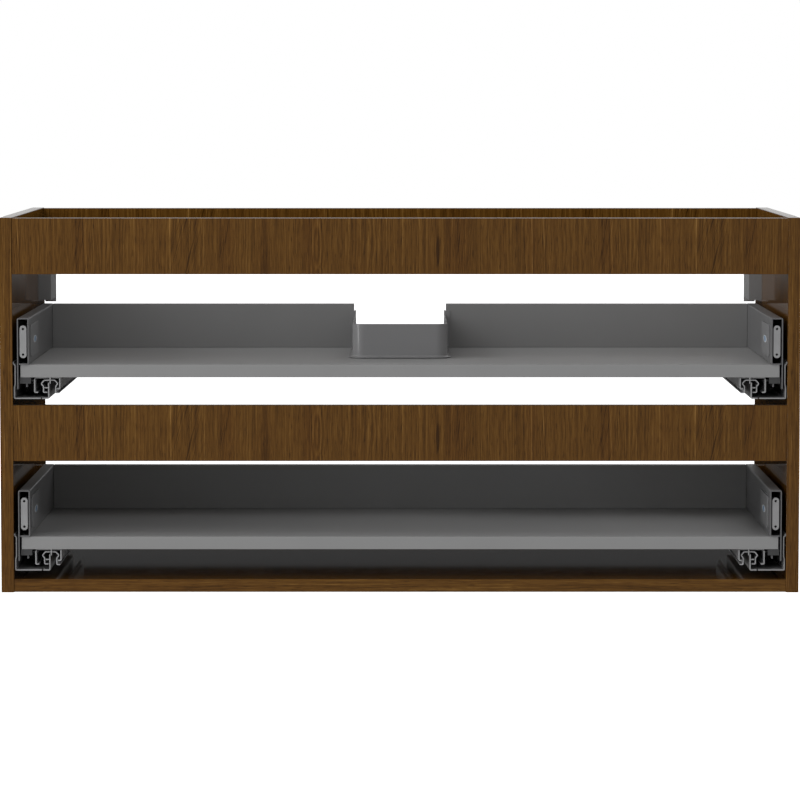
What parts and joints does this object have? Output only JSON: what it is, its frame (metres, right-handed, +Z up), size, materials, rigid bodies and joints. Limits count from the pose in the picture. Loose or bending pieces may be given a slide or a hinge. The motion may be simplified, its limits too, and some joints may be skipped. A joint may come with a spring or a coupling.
{
  "type": "bathroom vanity cabinet",
  "caption": "Wall-hung vanity carcass in walnut-grain board with full-extension metal-sided drawers, the upper one cut out for the siphon.",
  "frame": {"origin": "middle of the underside of the cabinet's bounding box, at the side panels' lower ends", "axes": "+X to the right across the front, +Y from the open front to the wall, +Z up"},
  "size_m": [1, 0.45, 0.47],
  "materials": {
    "walnut": "walnut-grain melamine",
    "grey_board": "grey melamine",
    "drawer_metal": "satin grey powder coat",
    "hanger_metal": "satin grey",
    "bright_steel": "bright rolled",
    "zinc_steel": "zinc plated",
    "ball_steel": "polished",
    "grey_plastic": "fine textured",
    "dark_plastic": "matt",
    "surround_plastic": "fine textured",
    "beech": "plain"
  },
  "bodies": {
    "root": {"side_panel_left": "walnut", "side_panel_right": "walnut", "bottom_panel": "walnut", "front_top_rail": "walnut", "front_middle_rail": "walnut", "back_top_rail": "walnut", "back_bottom_rail": "walnut", "dowels": "beech", "cam_fittings": "zinc_steel", "hanger_housing_left": "hanger_metal", "hanger_housing_right": "hanger_metal", "hanger_screws": "zinc_steel", "upper_outer_rail_left": "zinc_steel", "upper_outer_rail_right": "zinc_steel", "lower_outer_rail_left": "zinc_steel", "lower_outer_rail_right": "zinc_steel", "slide_screws": "zinc_steel", "dampers": "dark_plastic"},
    "upper_drawer": {"upper_side_left": "drawer_metal", "upper_side_right": "drawer_metal", "upper_bottom": "grey_board", "upper_back_left": "grey_board", "upper_back_right": "grey_board", "upper_front_brackets": "zinc_steel", "upper_caps": "grey_plastic", "upper_inner_rail_left": "zinc_steel", "upper_inner_rail_right": "zinc_steel", "upper_back_brackets": "zinc_steel", "upper_locks": "dark_plastic", "upper_screws": "zinc_steel", "siphon_surround": "surround_plastic"},
    "upper_middle_rails": {"upper_middle_rail_left": "bright_steel", "upper_middle_rail_right": "bright_steel"},
    "upper_inner_cages": {"upper_inner_cages": "dark_plastic", "upper_inner_balls": "ball_steel"},
    "upper_outer_cages": {"upper_outer_cages": "dark_plastic", "upper_outer_balls": "ball_steel"},
    "upper_catch_left": {"upper_catch_left": "grey_plastic"},
    "upper_catch_right": {"upper_catch_right": "grey_plastic"},
    "lower_drawer": {"lower_side_left": "drawer_metal", "lower_side_right": "drawer_metal", "lower_bottom": "grey_board", "lower_back": "grey_board", "lower_front_brackets": "zinc_steel", "lower_caps": "grey_plastic", "lower_inner_rail_left": "zinc_steel", "lower_inner_rail_right": "zinc_steel", "lower_back_brackets": "zinc_steel", "lower_locks": "dark_plastic", "lower_screws": "zinc_steel"},
    "lower_middle_rails": {"lower_middle_rail_left": "bright_steel", "lower_middle_rail_right": "bright_steel"},
    "lower_inner_cages": {"lower_inner_cages": "dark_plastic", "lower_inner_balls": "ball_steel"},
    "lower_outer_cages": {"lower_outer_cages": "dark_plastic", "lower_outer_balls": "ball_steel"},
    "lower_catch_left": {"lower_catch_left": "grey_plastic"},
    "lower_catch_right": {"lower_catch_right": "grey_plastic"},
    "hanger_hook_left": {"hanger_hook_left": "bright_steel"},
    "hanger_hook_right": {"hanger_hook_right": "bright_steel"}
  },
  "joints": [
    {"name": "upper_drawer_slide", "type": "slide", "parent": "root", "child": "upper_drawer", "axis": [0, -1, 0], "range_m": [0, 0.35]},
    {"name": "upper_middle_rails_slide", "type": "slide", "parent": "root", "child": "upper_middle_rails", "axis": [0, -1, 0], "range_m": [0, 0.175]},
    {"name": "upper_inner_cages_slide", "type": "slide", "parent": "root", "child": "upper_inner_cages", "axis": [0, -1, 0], "range_m": [0, 0.0875]},
    {"name": "upper_outer_cages_slide", "type": "slide", "parent": "root", "child": "upper_outer_cages", "axis": [0, -1, 0], "range_m": [0, 0.2625]},
    {"name": "upper_catch_left_slide", "type": "slide", "parent": "upper_drawer", "child": "upper_catch_left", "axis": [-1, 0, 0], "range_m": [0, 0.004], "stiffness_N_per_m": 300},
    {"name": "upper_catch_right_slide", "type": "slide", "parent": "upper_drawer", "child": "upper_catch_right", "axis": [1, 0, 0], "range_m": [0, 0.004], "stiffness_N_per_m": 300},
    {"name": "lower_drawer_slide", "type": "slide", "parent": "root", "child": "lower_drawer", "axis": [0, -1, 0], "range_m": [0, 0.35]},
    {"name": "lower_middle_rails_slide", "type": "slide", "parent": "root", "child": "lower_middle_rails", "axis": [0, -1, 0], "range_m": [0, 0.175]},
    {"name": "lower_inner_cages_slide", "type": "slide", "parent": "root", "child": "lower_inner_cages", "axis": [0, -1, 0], "range_m": [0, 0.0875]},
    {"name": "lower_outer_cages_slide", "type": "slide", "parent": "root", "child": "lower_outer_cages", "axis": [0, -1, 0], "range_m": [0, 0.2625]},
    {"name": "lower_catch_left_slide", "type": "slide", "parent": "lower_drawer", "child": "lower_catch_left", "axis": [-1, 0, 0], "range_m": [0, 0.004], "stiffness_N_per_m": 300},
    {"name": "lower_catch_right_slide", "type": "slide", "parent": "lower_drawer", "child": "lower_catch_right", "axis": [1, 0, 0], "range_m": [0, 0.004], "stiffness_N_per_m": 300},
    {"name": "hanger_hook_left_height", "type": "slide", "parent": "root", "child": "hanger_hook_left", "axis": [0, 0, 1], "range_m": [-0.006, 0.006]},
    {"name": "hanger_hook_right_height", "type": "slide", "parent": "root", "child": "hanger_hook_right", "axis": [0, 0, 1], "range_m": [-0.006, 0.006]}
  ],
  "couplings": [
    {"joint": "upper_middle_rails_slide", "follows": "upper_drawer_slide", "ratio": 0.5},
    {"joint": "upper_inner_cages_slide", "follows": "upper_drawer_slide", "ratio": 0.25},
    {"joint": "upper_outer_cages_slide", "follows": "upper_drawer_slide", "ratio": 0.75},
    {"joint": "lower_middle_rails_slide", "follows": "lower_drawer_slide", "ratio": 0.5},
    {"joint": "lower_inner_cages_slide", "follows": "lower_drawer_slide", "ratio": 0.25},
    {"joint": "lower_outer_cages_slide", "follows": "lower_drawer_slide", "ratio": 0.75}
  ]
}
